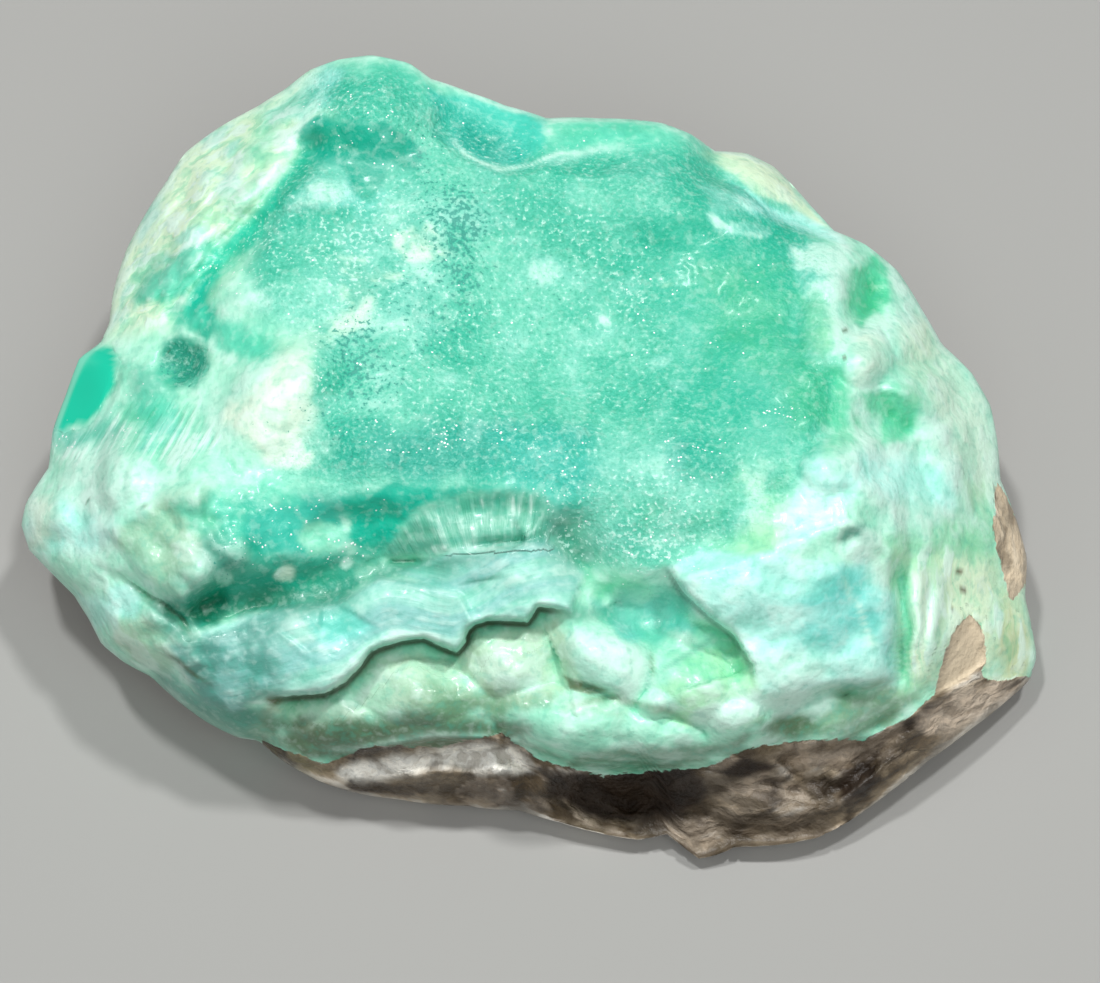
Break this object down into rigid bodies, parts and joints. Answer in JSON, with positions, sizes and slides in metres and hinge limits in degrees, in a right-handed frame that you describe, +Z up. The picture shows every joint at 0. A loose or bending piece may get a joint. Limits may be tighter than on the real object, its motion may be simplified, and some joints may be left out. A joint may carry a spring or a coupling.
{
  "type": "smithsonite specimen",
  "caption": "Lumpy blue-green smithsonite crust grown over a broken piece of pale brown matrix, resting on a flat base.",
  "frame": {"origin": "middle of the stone's bounding box in plan, on the table it rests on", "axes": "+Z up from the table, +X along the stone's length to the right as displayed, -Y towards the viewer"},
  "size_m": [0.1034, 0.0782, 0.0355],
  "materials": {
    "smithsonite_stone": "waxy to glassy blue-green crust over dull pale brown rock"
  },
  "bodies": {
    "root": {"smithsonite_specimen": "smithsonite_stone"}
  },
  "joints": []
}
